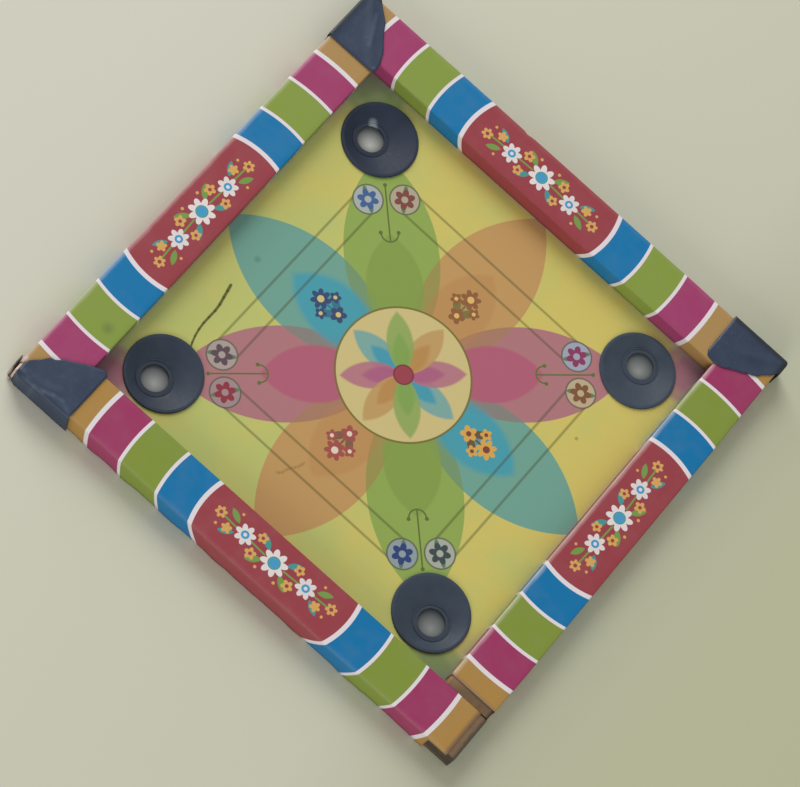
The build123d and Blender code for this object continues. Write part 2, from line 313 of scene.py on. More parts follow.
# Its print: white circles about the middle of the rail part the bands of colour, laid out on the
# flat film in millimetres, with a garland on the red.  The clear face of the film is satin, rubbed
# and a little dusty.
rail_middle = ((rail_low.x + rail_high.x) / 2 * 1000, (film_low.y + film_high.y) / 2 * 1000)
film_top = film_high.z * 1000
print_shift = -3.0  # of the circles, towards the inner face of the rail
white_line = 3.2
band_radii = (65.5, 95.5, 128, 158)
cool_inks = ("006fa3", "80933c", "9a3865", "a6834e")
warm_inks = ("006da1", "7b8d35", "96325c", "a67f40")
band_inks = {"far": cool_inks, "right": warm_inks, "near": warm_inks, "left": cool_inks}
print_reach = 220.0  # past both ends of the rail
# Where across the rail each film has a painted highlight along a fold, how strongly, and how far it
# wanders.
fold_highlights = {"far": (20.4, 0.04), "right": (-20.4, 0.42), "near": (20.4, 0.04), "left": (21.2, 0.35)}
fold_wander = 2.4
cut_end_brown = {"far": 0.0, "right": 0.6, "near": 0.6, "left": 0.0}
white_ink, red_ink = "dad2d5", "923b43"
blue_ink, gold_ink, teal_ink, leaf_green = "3d93bd", "cf9f55", "3f8f8c", "6f9343"
side_bloom, inner_bud, outer_bud, end_bud = (28, -1.5), (17, 6.5), (17, -8.5), (51, -2.5)
for side, turn in rail_turns.items():
    film, tree = material(f"printed film, {side} rail")
    place = add(tree, "TexCoord").outputs["Object"]
    solid = add(tree, "VectorMath", {0: place, 1: (1000, 1000, 1000)}, operation="MULTIPLY")
    turned = add(
        tree, "VectorRotate", {"Vector": solid, "Angle": math.radians(-turn)}, rotation_type="Z_AXIS"
    )
    rail_place = add(tree, "VectorMath", {0: turned, 1: (-rail_middle[0], -rail_middle[1], -film_top)})
    parts = add(tree, "SeparateXYZ", {0: rail_place})
    face = add(tree, "Math", {0: parts.outputs["Y"]}, operation="SIGN")
    drop = add(tree, "Math", {0: parts.outputs["Z"], 1: 0.0}, operation="MINIMUM")
    down = add(tree, "Math", {0: drop, 1: -1.0}, operation="MULTIPLY")
    across = add(tree, "Math", {0: face, 1: down, 2: parts.outputs["Y"]}, operation="MULTIPLY_ADD")
    unrolled = add(tree, "CombineXYZ", {"X": parts.outputs["X"], "Y": across})
    reach = add(tree, "VectorMath", {0: unrolled, 1: (0, print_shift, 0)}, operation="DISTANCE")
    share = add(tree, "Math", {0: reach, 1: print_reach}, operation="DIVIDE")
    ramp = add(tree, "ValToRGB", {"Fac": share})
    ramp.color_ramp.interpolation = "CONSTANT"
    ramp.color_ramp.elements[0].color = linear(red_ink)
    ramp.color_ramp.elements.remove(ramp.color_ramp.elements[1])
    for radius, ink in zip(band_radii, band_inks[side]):
        ramp.color_ramp.elements.new((radius - white_line / 2) / print_reach).color = linear(white_ink)
        ramp.color_ramp.elements.new((radius + white_line / 2) / print_reach).color = linear(ink)

    # The garland, the same to both sides of the rail's middle.
    from_middle = add(tree, "Math", {0: parts.outputs["X"]}, operation="ABSOLUTE")
    half = add(tree, "CombineXYZ", {"X": from_middle, "Y": across})
    ground = coloured(tree, ramp, [
        (leaf(tree, half, (8, 4), 38, 13, 5), linear(leaf_green)),
        (leaf(tree, half, (8, -5), -34, 13, 5), linear(teal_ink)),
        (leaf(tree, half, (35, 3), 32, 12, 4.6), linear(teal_ink)),
        (leaf(tree, half, (36, -5), -28, 12, 4.6), linear(leaf_green)),
        (stroke(tree, half, (9, 0), (50, -2), 1.3), linear(leaf_green)),
        (blossom(tree, half, (0, 0), 10.5, 8), linear("dcd2cf")),
        (ring(tree, half, (0, 0), 4.3, 1.1), linear(teal_ink)),
        (spot(tree, half, (0, 0), 3.8), linear(blue_ink)),
        (blossom(tree, half, side_bloom, 8.0, 7), linear("d8cfcb")),
        (spot(tree, half, side_bloom, 3.1), linear(blue_ink)),
        (spot(tree, half, side_bloom, 1.4), linear(white_ink)),
        (blossom(tree, half, inner_bud, 4.6, 5), linear(gold_ink)),
        (blossom(tree, half, outer_bud, 4.2, 5), linear(gold_ink)),
        (blossom(tree, half, (41, 4), 4.2, 5), linear(gold_ink)),
        (blossom(tree, half, end_bud, 4.6, 6), linear(gold_ink)),
        (spot(tree, half, inner_bud, 1.4), linear(red_ink)),
        (spot(tree, half, outer_bud, 1.3), linear(red_ink)),
        (spot(tree, half, end_bud, 1.5), linear(red_ink)),
        (spot(tree, half, (8.5, 11.5), 1.2), linear(gold_ink)),
        (spot(tree, half, (38, -12), 1.1), linear(gold_ink)),
        (spot(tree, half, (49, 6.5), 1.1), linear(gold_ink)),
    ])

    # A painted highlight along one fold; and handling: browned along the cut ends, pale at the split
    # guard, one smudge, and dust.
    plane = add(tree, "VectorMath", {0: place, 1: (1000, 1000, 0)}, operation="MULTIPLY")
    cut_end = add(tree, "MapRange", {"Value": from_middle, **above(174.4, cut_end_brown[side], 1.2)})
    rubbed = add(tree, "TexNoise", {"Vector": solid, "Scale": 1 / 14, "Detail": 6.0})
    dusted = add(tree, "MapRange", {"Value": rubbed, **above(0.6, 0.06, 0.15)})
    fold_place, fold_highlight = fold_highlights[side]
    wavy = add(tree, "Math", {0: rubbed, 1: fold_wander, 2: across}, operation="MULTIPLY_ADD")
    from_fold = add(tree, "Math", {0: wavy, 1: fold_place + fold_wander / 2}, operation="SUBTRACT")
    off_fold = add(tree, "Math", {0: from_fold}, operation="ABSOLUTE")
    ground = coloured(tree, ground, [
        # Painted highlight: a pale band along one fold, strongest on the right and left rails.
        (add(tree, "MapRange", {"Value": off_fold, **below(2.2, fold_highlight, 1.8)}), linear("e6dcd6")),
        (cut_end, linear("82655c")),
        (stroke(tree, plane, (-202.4, -192), (-202.4, -204), 2.4, 0.7, 1.0), linear("d6bfbb")),
        (spot(tree, plane, (-175, -135), 3.2, 0.45, 3.0), linear("4f5a44")),
        (dusted, linear("8f8a84")),
    ])
    dulled = add(tree, "MapRange", {"Value": rubbed, **above(0.5, 0.54, 0.2), "To Min": 0.34})
    surface(tree, {
        "Base Color": ground, "Roughness": dulled, "IOR": 1.5, "Specular IOR Level": 0.12,
        "Coat Weight": 0.3, "Coat Roughness": 0.42,
    })

    # The wrap: inner skirt, top and outer skirt as one folded strip, rippled by less than its gap
    # to the corner guards.
    fold = [(film_low.y, z) for z in stations(playing_level, film_high.z, skirt_step)]
    fold += [(y, film_high.z) for y in stations(film_low.y, film_high.y, top_step)[1:]]
    fold += [(film_high.y, z) for z in stations(film_high.z, film_low.z, skirt_step)[1:]]
    film_end = film_high.x if side == "right" else hidden_end
    wrap = folded_strip(fold, stations(film_low.x, film_end, skirt_step))
    folds = (film_low.y, film_high.y)
    arrises = [
        edge for edge in wrap.edges
        if all(vert.co.z > film_high.z - tolerance for vert in edge.verts)
        and all(min(abs(vert.co.y - y) for y in folds) < tolerance for vert in edge.verts)
    ]
    round_off(wrap, arrises, film_arris, 4)
    if side == "near":
        torn = [
            face for face in wrap.faces
            if face.calc_center_median().x < torn_end
            and face.calc_center_median().y > film_high.y - 1e-4
            and face.calc_center_median().z < torn_top
        ]
        bmesh.ops.delete(wrap, geom=torn, context="FACES")
    for vert in wrap.verts:
        seed = Vector((turn, 0, 0))
        swell = 0.5 + 0.5 * noise.noise(vert.co * ripples + seed)
        inner_face = vert.co.y < (film_low.y + film_high.y) / 2
        outward = Vector((0, -1 if inner_face else 1, 0))
        if vert.co.z >= film_high.z - film_arris:
            outward = Vector((0, 0, 1))
        vert.co += outward * film_ripple * swell
        if not inner_face:
            loose = min(1.0, max(0.0, (guarded_end - abs(vert.co.x)) / loosening))
            vert.co.y += film_slack[side] * (held_slack + (1 - held_slack) * loose)
        by_fold = vert.co.z > film_high.z - dent_drop and vert.co.y > film_high.y - dent_reach
        if side == "far" and by_fold:
            vert.co.y -= dent_depth * math.exp(-(((vert.co.x - dent_place) / dent_width) ** 2))
        if side == "near" and not inner_face:
            flare = max(0.0, noise.noise(Vector((vert.co.x * flares, 3.7, 0))))
            vert.co.y += film_flare * flare * ((film_high.z - vert.co.z) / film_high.z) ** 2
    piece = as_piece(wrap, f"{side}_film_wrap", film, turn, film_wall)
    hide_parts(f"{side}_rail_film")

# ---------------------------------------------------------------------------------------------
# Panel.  A sheet of 3 mm hardboard in the rebate of the battens, smooth side up, its back marked
# by the screen that it was pressed on.
# ---------------------------------------------------------------------------------------------
# Pressed wood fibre: mottled brown, matt, with a fine woven screen mark underneath.
hardboard, tree = material("pressed hardboard")
place = add(tree, "TexCoord").outputs["Object"]
plane = add(tree, "VectorMath", {0: place, 1: (1000, 1000, 0)}, operation="MULTIPLY")
mottle = add(tree, "TexNoise", {"Vector": plane, "Scale": 1 / 4, "Detail": 6.0})
fibre = add(tree, "Mix", {"Factor": mottle, 6: linear("523520"), 7: linear("86603c")}, data_type="RGBA")
screen_pitch = 1.6  # between the wires of the screen
wires = add(tree, "VectorMath", {0: plane, 1: (2 * math.pi / screen_pitch,) * 3}, operation="MULTIPLY")
waves = add(tree, "VectorMath", {0: wires}, operation="SINE")
wave_parts = add(tree, "SeparateXYZ", {0: waves})
screen = add(
    tree, "Math", {0: wave_parts.outputs["X"], 1: wave_parts.outputs["Y"]}, operation="MULTIPLY"
)
pressed = add(tree, "MapRange", {"Value": screen, **above(0.0, 0.3, 1.0)})
marked = coloured(tree, fibre, [(pressed, linear("3c2617"))])
relief = add(tree, "Bump", {"Height": screen, "Strength": 0.4, "Distance": 0.0002})
surface(tree, {"Base Color": marked, "Roughness": 0.7, "IOR": 1.45, "Normal": relief})
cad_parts["board_panel"].material_slots[0].material = hardboard

# ---------------------------------------------------------------------------------------------
# Playing sheet.  One printed paper laminate glued over the whole hardboard panel: a translucent
# eight-petalled flower, base lines and circles and a small blossom at each place of play.
# ---------------------------------------------------------------------------------------------
def by_direction(tree, plane, turn, codes):
    """Colour that changes with the direction from the middle: equal sectors, from -X round by -Y."""
    turned = add(
        tree, "VectorRotate", {"Vector": plane, "Angle": math.radians(turn)}, rotation_type="Z_AXIS"
    )
    share = add(tree, "TexGradient", {"Vector": turned}, gradient_type="RADIAL")
    sectors = add(tree, "ValToRGB", {"Fac": share})
    sectors.color_ramp.interpolation = "CONSTANT"
    sectors.color_ramp.elements[0].color = linear(codes[0])
    sectors.color_ramp.elements.remove(sectors.color_ramp.elements[1])
    for place, code in enumerate(codes[1:], 1):
        sectors.color_ramp.elements.new(place / len(codes)).color = linear(code)
    return sectors


def petal_axis(tree, plane, turn):
    """Fold the plane on an axis through its middle, so that one petal along X is drawn as two."""
    turned = add(
        tree, "VectorRotate", {"Vector": plane, "Angle": math.radians(-turn)}, rotation_type="Z_AXIS"
    )
    return add(tree, "VectorMath", {0: turned}, operation="ABSOLUTE")


# A satin paper laminate: the print under a thin clear film that scatters a little.
sheet_print, tree = material("laminated paper print")
place = add(tree, "TexCoord").outputs["Object"]
plane = add(tree, "VectorMath", {0: place, 1: (1000, 1000, 0)}, operation="MULTIPLY")

# The print lies a little off the middle of the board and a little askew.
print_middle, print_skew = (0.2, -1.7), math.radians(-0.6)
shifted = add(tree, "VectorMath", {0: plane, 1: (*print_middle, 0)}, operation="SUBTRACT")
laid = add(tree, "VectorRotate", {"Vector": shifted, "Angle": -print_skew}, rotation_type="Z_AXIS")

# The ground is warmer towards the far right, with a faint cloudiness.
cloud = add(tree, "TexNoise", {"Vector": plane, "Scale": 1 / 45, "Detail": 4.0})
across = add(tree, "VectorMath", {0: plane, 1: (0.5, 0.5, 0)}, operation="DOT_PRODUCT")
drift = add(tree, "MapRange", {"Value": across, **above(0, 1.0, 110)})
uneven = add(tree, "MapRange", {"Value": cloud, **above(0.5, 0.45, 0.2), "To Min": -0.45})
warmth = add(tree, "Math", {0: drift, 1: uneven}, use_clamp=True)
cool_ground, warm_ground = linear("b5ba6b"), linear("c9b962")
ground = add(tree, "Mix", {"Factor": warmth, 6: cool_ground, 7: warm_ground}, data_type="RGBA")

# Eight petals on four axes.  Where two of them overlap, their inks show half and half, and darker.
petal_inks = {
    0: ("6c9c8c", "3c95a8"),
    45: ("a87276", "ab586f"),
    90: ("b9915a", "ae7c49"),
    135: ("8aa14f", "7e9646"),
}
outer_size, inner_size = (9.2, 160.5, 72.4), (25.6, 80.7, 43.2)  # start, length and width
corner_size, corner_inner_size = (183, 165, 73), (196, 106, 42)  # of petals that the corners cut off
inner_inking = {0: (0.85, 2.5), 45: (0.9, 1.0), 90: (0.4, 1.5), 135: (0.85, 1.0)}  # strength and blur
corner_inking = (0.8, 2.5)
overlap_tone = 0.82
flower = []
ink_sum, weight_sum = (0, 0, 0), 0.0
for turn, (outer_ink, inner_ink) in petal_inks.items():
    folded = petal_axis(tree, laid, turn)
    outer = petal(tree, folded, *outer_size)
    ink_sum = add(
        tree, "VectorMath", {0: linear(outer_ink)[:3], 1: outer, 2: ink_sum}, operation="MULTIPLY_ADD"
    )
    weight_sum = add(tree, "Math", {0: weight_sum, 1: outer})
    flower.append((petal(tree, folded, *inner_size, *inner_inking[turn]), linear(inner_ink)))
    if turn in (45, 135):
        flower.append((petal(tree, folded, *corner_size, *corner_inking), linear(outer_ink)))
        flower.append((petal(tree, folded, *corner_inner_size, *corner_inking), linear(inner_ink)))
safe_weight = add(tree, "Math", {0: weight_sum, 1: 0.001}, operation="MAXIMUM")
mean_ink = add(tree, "VectorMath", {0: ink_sum, 1: safe_weight}, operation="DIVIDE")
overlap = add(tree, "MapRange", {"Value": weight_sum, **above(1.5, overlap_tone, 0.5), "To Min": 1.0})
petal_ink = add(tree, "VectorMath", {0: mean_ink, "Scale": overlap}, operation="SCALE")
any_petal = add(tree, "Math", {0: weight_sum, 1: 1.0}, operation="MINIMUM")
ground = coloured(tree, ground, [(any_petal, petal_ink), *flower])

# Base lines and circles.  Both fold onto one side of the board: "out" is the distance from the
# middle of the print to that side and "along" the distance from the middle of the side.
either_way = add(tree, "VectorMath", {0: laid}, operation="ABSOLUTE")
halves = add(tree, "SeparateXYZ", {0: either_way})
out = add(tree, "Math", {0: halves.outputs["X"], 1: halves.outputs["Y"]}, operation="MAXIMUM")
along = add(tree, "Math", {0: halves.outputs["X"], 1: halves.outputs["Y"]}, operation="MINIMUM")
side_plane = add(tree, "CombineXYZ", {"X": out, "Y": along})
line_near, line_far, base_end, base_radius = 95.0, 113.1, 84.3, 11.35
base_line = (1.9, 0.5, 0.4)  # width, strength and blur
base = ((line_near + line_far) / 2, base_end)
circle_ground = by_direction(
    tree, laid, 0, ["a6968f", "9c8486", "8c989a", "a3a699", "b8a384", "9a9fae", "a8a086", "a3a9a4"]
)
circle_ink = by_direction(
    tree, laid, 0, ["5a4a50", "8c3440", "2f4272", "3c4a4a", "7a5336", "86385c", "7a4640", "40608c"]
)
line_ink, sprig_ink = linear("444a22"), linear("5d7a58")
ground = coloured(tree, ground, [
    (stroke(tree, side_plane, (line_near, 0), (line_near, base_end), *base_line), line_ink),
    (stroke(tree, side_plane, (line_far, 0), (line_far, base_end), *base_line), line_ink),
    (spot(tree, side_plane, base, base_radius), circle_ground),
    (leaf(tree, side_plane, (base[0] + 4, base[1] + 2), 40, 6.6, 3.4), sprig_ink),
    (leaf(tree, side_plane, (base[0] - 4, base[1] - 2), -140, 6.6, 3.4), sprig_ink),
    (blossom(tree, side_plane, base, 8.2, 6), circle_ink),
    (spot(tree, side_plane, base, 2.6), circle_ground),
    (ring(tree, side_plane, base, base_radius, 1.2, 0.85), linear("585b48")),
])

# Arrows on the diagonals: a shaft with a dot at the pocket and a hook towards the middle.
slope = math.sqrt(0.5)
corner_out = add(tree, "VectorMath", {0: side_plane, 1: (slope, slope, 0)}, operation="DOT_PRODUCT")
corner_off = add(tree, "VectorMath", {0: side_plane, 1: (slope, -slope, 0)}, operation="DOT_PRODUCT")
corner_plane = add(tree, "CombineXYZ", {"X": corner_out, "Y": corner_off})
arrow_start, arrow_end, hook_radius = 100.5, 144.4, 6.5
arrow_line, arrow_dot = 1.2, 1.5
hook_middle = arrow_start + hook_radius
hook = ring(tree, corner_plane, (hook_middle, 0), hook_radius, arrow_line)
inner_half = add(tree, "MapRange", {"Value": corner_out, **below(hook_middle)})
half_hook = add(tree, "Math", {0: hook, 1: inner_half}, operation="MULTIPLY")
arrow_ink = linear("5d6a37")
ground = coloured(tree, ground, [
    (stroke(tree, corner_plane, (arrow_start, 0), (arrow_end, 0), arrow_line), arrow_ink),
    (half_hook, arrow_ink),
    (spot(tree, corner_plane, (hook_middle + 0.6, hook_radius + 0.3), arrow_dot), arrow_ink),
    (spot(tree, corner_plane, (arrow_end, 0), arrow_dot), arrow_ink),
])

# A posy on each of the four straight petals, in the colours of its side.
posy_ink = by_direction(tree, laid, 45, ["37496a", "9c4f48", "cfa049", "8a5c38"])
posy_centre = by_direction(tree, laid, 45, ["c9b878", "d8c8b4", "7b4038", "d9b065"])
leaf_ink = by_direction(tree, laid, 45, ["3a6f84", "7a5a44", "6a5038", "77713f"])
posy_root, posy_head, posy_bud = (63, 0), (80, 0), (73, 8.5)
ground = coloured(tree, ground, [
    (leaf(tree, side_plane, posy_root, 38, 17, 6), leaf_ink),
    (stroke(tree, side_plane, (60, 0), posy_head, 1.6), leaf_ink),
    (blossom(tree, side_plane, posy_root, 6.5, 5), posy_ink),
    (blossom(tree, side_plane, posy_head, 8.0, 7), posy_ink),
    (blossom(tree, side_plane, posy_bud, 4.6, 5), posy_ink),
    (spot(tree, side_plane, posy_root, 2.0), posy_centre),
    (spot(tree, side_plane, posy_head, 2.7), posy_centre),
    (spot(tree, side_plane, posy_bud, 1.5), posy_centre),
])

# Centre circle, with a small flower round a red button.
circle_middle, circle_radius, button_radius = (0.4, -2.0), 51.0, 7.3
centre_plane = add(tree, "VectorMath", {0: plane, 1: (*circle_middle, 0)}, operation="SUBTRACT")
small_inks = {
    0: ("6fa09a", "3590a8"),
    45: ("ac6c7c", "a2587a"),
    90: ("b8935c", "b08248"),
    135: ("87a057", "799c4b"),
}
rim_size, small_size, heart_size = (0, 48.4, 20.8), (0, 47.0, 19.4), (0, 31, 12.5)
small_flower = []
for turn, (outer_ink, inner_ink) in small_inks.items():
    folded = petal_axis(tree, centre_plane, turn)
    small_flower.append((petal(tree, folded, *rim_size, 0.4), linear(inner_ink)))
    small_flower.append((petal(tree, folded, *small_size, 0.85), linear(outer_ink)))
    small_flower.append((petal(tree, folded, *heart_size, 0.85, 1.4), linear(inner_ink)))
ground = coloured(tree, ground, [
    (spot(tree, centre_plane, (0, 0), circle_radius), linear("c6b67c")),
    *small_flower,
    (ring(tree, centre_plane, (0, 0), circle_radius, 1.5, 0.9), linear("6e642d")),
    (spot(tree, centre_plane, (0, 0), button_radius), linear("96404a")),
    (ring(tree, centre_plane, (0, 0), button_radius, 1.1, 0.85), linear("6d2c3a")),
])

# Marks of use: a pen line outside the left base line, a faint one across the near base line and two
# small stains; and the print is greyer at the foot of the rails and darker and greyer into the corners.
pen = [
    (-133.5, -40), (-132.4, -45), (-131.2, -51), (-129.9, -57), (-129.3, -63), (-129.4, -70),
    (-129.4, -76), (-128.8, -82), (-127.6, -88), (-126.0, -93), (-124.0, -98),
]
pen_width, pen_fading = 2.3, 0.09  # at its start, and how much thinner each stroke is
marks = [
    (stroke(tree, plane, before, after, pen_width - pen_fading * place, 0.9, 0.35), linear("484c18"))
    for place, (before, after) in enumerate(zip(pen, pen[1:]))
]
scribble = [
    (-20.8, -124), (-19.2, -123.2), (-17.6, -121), (-16.8, -117.6), (-15.8, -115.4), (-13.4, -112),
    (-11.8, -109.2), (-11.1, -106.6), (-10.7, -104.4),
]
marks += [
    (stroke(tree, plane, before, after, 1.6, 0.3, 0.8), linear("7a5a24"))
    for before, after in zip(scribble, scribble[1:])
]
either_way = add(tree, "VectorMath", {0: plane}, operation="ABSOLUTE")
halves = add(tree, "SeparateXYZ", {0: either_way})
to_rail = add(tree, "Math", {0: halves.outputs["X"], 1: halves.outputs["Y"]}, operation="MAXIMUM")
at_foot = add(tree, "MapRange", {"Value": to_rail, **above(161, 0.26, 2.5)})
in_corner = add(tree, "MapRange", {"Value": corner_out, **above(208, 0.55, 18)})
marks += [
    (spot(tree, plane, (-132, -11), 2.2, 0.4, 1.2), linear("3f6a58")),
    (spot(tree, plane, (124, 52), 1.3, 0.5, 0.5), linear("6b4a3a")),
    (at_foot, linear("9a98a0")),
    (in_corner, linear("72757a")),
]
ground = coloured(tree, ground, marks)
scuffs = add(tree, "TexNoise", {"Vector": plane, "Scale": 1 / 9, "Detail": 6.0})
dulled = add(tree, "MapRange", {"Value": scuffs, "To Min": 0.36, "To Max": 0.56})
surface(tree, {"Base Color": ground, "Roughness": dulled, "IOR": 1.5, "Specular IOR Level": 0.2})
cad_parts["playing_sheet"].material_slots[0].material = sheet_print

# ---------------------------------------------------------------------------------------------
# Panel pins.  Small flat-headed steel pins, driven up through the margin of the panel into the
# battens.  They are cut from bright drawn wire, which has tarnished in patches.
# ---------------------------------------------------------------------------------------------
pin_wire, tree = material("bright wire pin")
place = add(tree, "TexCoord").outputs["Object"]
tarnish = add(tree, "TexNoise", {"Vector": place, "Scale": 500.0, "Detail": 3.0})
wire = add(tree, "Mix", {"Factor": tarnish, 6: linear("6e6b66"), 7: linear("a8a59f")}, data_type="RGBA")
surface(tree, {"Base Color": wire, "Metallic": 1.0, "Roughness": 0.35})
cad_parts["panel_pins"].material_slots[0].material = pin_wire

# ---------------------------------------------------------------------------------------------
# Pocket cups.  A shallow moulded cup pressed into each corner of the panel, with its hole off
# centre.  Each is polypropylene, dark navy right through.
# ---------------------------------------------------------------------------------------------
# Moulded polypropylene: satin, a little dusty, with fine handling scratches.  The far left cup has
# a painted highlight beside its hole.
# The four cups are one plastic; their tones differ by painted shade and light, darkest at the far left.
cup_tones_with_painted_shade = {
    "far_left": ("222a39", "2e3748"),
    "far_right": ("303a46", "434e5b"),
    "near_right": ("2f3845", "404b58"),
    "near_left": ("29313e", "394351"),
}
for corner, (dark, light) in cup_tones_with_painted_shade.items():
    cup, tree = material(f"moulded polypropylene, {corner.replace('_', ' ')} cup")
    place = add(tree, "TexCoord").outputs["Object"]
    dust = add(tree, "TexNoise", {"Vector": place, "Scale": 90.0, "Detail": 5.0})
    tone = add(tree, "Mix", {"Factor": dust, 6: linear(dark), 7: linear(light)}, data_type="RGBA")
    if corner == "far_left":
        plane = add(tree, "VectorMath", {0: place, 1: (1000, 1000, 0)}, operation="MULTIPLY")
        # A painted highlight on the cup beside its hole.
        painted_highlight_by_hole = stroke(tree, plane, (-138.0, 133.9), (-135.2, 131.2), 5.6, 0.7, 1.4)
        tone = coloured(tree, tone, [(painted_highlight_by_hole, linear("8d9499"))])
    fine = add(tree, "TexNoise", {"Vector": place, "Scale": 400.0, "Detail": 3.0})
    satin = add(tree, "MapRange", {"Value": fine, "To Min": 0.40, "To Max": 0.62})
    surface(tree, {"Base Color": tone, "Roughness": satin, "IOR": 1.49, "Specular IOR Level": 0.24})
    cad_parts[f"{corner}_pocket_cup"].material_slots[0].material = cup

# ---------------------------------------------------------------------------------------------
# Corner guards.  A moulded plastic cap sits over the joint at three corners of the frame.  Its
# long skirt covers the end of the butting batten and its plate is cut slanting on the other one.
# ---------------------------------------------------------------------------------------------
def reach_at(outline, station):
    """How far across the joint the plate goes, at a distance along the butting rail."""
    for (before, near_reach), (after, far_reach) in zip(outline, outline[1:]):
        if station <= after:
            share = max(0.0, station - before) / (after - before)
            return near_reach + (far_reach - near_reach) * share
    return outline[-1][1]


frame_half = film_high.y  # from the middle of the board to the outer faces of its films
guard_wall = 0.0008
guard_low, guard_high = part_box("near_left_corner_guard")
# Each guard is laid out along X from the corner of the frame.  Its skirt stands off the frame, its
# folds have a rounded arris, and its outline and the ridge on its plate are (along, across).
guard_forms = {
    "far_left": {
        "turn": -90, "start": -0.0018, "end": 0.0490, "stand": 0.0018,
        "arris": 0.0016, "ragged": 0.0002,
        "outline": [
            (-0.0018, 0.0090), (0.0030, 0.0140), (0.0110, 0.0230), (0.0160, 0.0260),
            (0.0220, 0.0300), (0.0300, 0.0365), (0.0400, 0.0410), (0.0450, 0.0420),
            (0.0490, 0.0400),
        ],
        "ridge": [(0.004, 0.004), (0.018, 0.016), (0.034, 0.026), (0.048, 0.040)],
    },
    "far_right": {
        "turn": 180, "start": -0.0030, "end": 0.0490, "stand": 0.0030,
        "arris": 0.0026, "ragged": 0.0005,
        "outline": [
            (-0.0030, 0.0095), (0.0000, 0.0130), (0.0060, 0.0190), (0.0100, 0.0240),
            (0.0190, 0.0290), (0.0330, 0.0370), (0.0400, 0.0388), (0.0450, 0.0382),
            (0.0475, 0.0365), (0.0490, 0.0335),
        ],
        "ridge": [(0.002, 0.003), (0.030, 0.020), (0.046, 0.022)],
    },
    "near_left": {
        "turn": 0, "start": 0.0020, "end": 0.0505, "stand": 0.0030,
        "arris": 0.0034, "ragged": 0.0009, "curl": 0.0018, "slant": 0.0036,
        "outline": [
            (0.0020, 0.0060), (0.0030, 0.0100), (0.0060, 0.0140), (0.0100, 0.0170),
            (0.0120, 0.0220), (0.0170, 0.0240), (0.0220, 0.0290), (0.0270, 0.0320),
            (0.0390, 0.0390), (0.0430, 0.0412), (0.0470, 0.0425), (0.0505, 0.0405),
        ],
        "ridge": [(0.008, 0.001), (0.022, 0.002), (0.034, 0.007), (0.050, 0.002)],
    },
}

# Moulded polypropylene, scuffed: dark navy, painted highlights on its creases, painted shade round its
# skirts.
guard_plastic, tree = material("moulded polypropylene, guard")
place = add(tree, "TexCoord").outputs["Object"]
dust = add(tree, "TexNoise", {"Vector": place, "Scale": 70.0, "Detail": 6.0})
tone = add(tree, "Mix", {"Factor": dust, 6: linear("233046"), 7: linear("354256")}, data_type="RGBA")
rubs = add(tree, "TexNoise", {"Vector": place, "Scale": 220.0, "Detail": 4.0, "Distortion": 1.5})
rubbed = add(tree, "MapRange", {"Value": rubs, **above(0.665, 0.2, 0.085)})
plane = add(tree, "VectorMath", {0: place, 1: (1000, 1000, 0)}, operation="MULTIPLY")
parts = add(tree, "SeparateXYZ", {0: plane})
either_side = add(tree, "Math", {0: parts.outputs["X"]}, operation="ABSOLUTE")
out = add(tree, "Math", {0: either_side, 1: parts.outputs["Y"]}, operation="MAXIMUM")
# Painted shade along the outer edges of the guards.
painted_shade_edge = add(tree, "MapRange", {"Value": out, **above(201.75, 0.8, 1.45)})
# Painted highlights along the creases of the near left guard, along the ridge of the far left one and
# at its tip.
crease = [
    (-198, -201), (-192, -203.5), (-185, -204.5), (-178, -203),
    (-171, -200), (-164, -199), (-158, -201.5), (-153, -203),
]
crease_highlight_strengths = (0.08, 0.14, 0.2, 0.24, 0.18, 0.1, 0.08)
painted_highlight = linear("7c8da1")
tone = coloured(tree, tone, [
    (rubbed, linear("5b6878")),
    (painted_shade_edge, linear("23292b")),
    *[
        (stroke(tree, plane, before, after, 1.2, strength, 1.8), painted_highlight)
        for before, after, strength in zip(crease, crease[1:], crease_highlight_strengths)
    ],
    (stroke(tree, plane, (-189, 192), (-177.5, 169), 1.4, 0.2, 1.8), painted_highlight),
    (spot(tree, plane, (-164, 157.5), 1.2, 0.15, 1.0), painted_highlight),
    # Brown-grey on the strip that stands where the near left guard has split, and pale at its foot.
    (stroke(tree, plane, (-203.7, -190), (-203.7, -206), 4.4, 0.85, 0.4), linear("6e5f5a")),
    (stroke(tree, plane, (-203.7, -202.2), (-203.7, -206), 4.4, 0.85, 0.6), linear("b9a59f")),
])
sheen = add(tree, "MapRange", {"Value": dust, "To Min": 0.32, "To Max": 0.55})
surface(tree, {"Base Color": tone, "Roughness": sheen, "IOR": 1.49, "Specular IOR Level": 0.35})

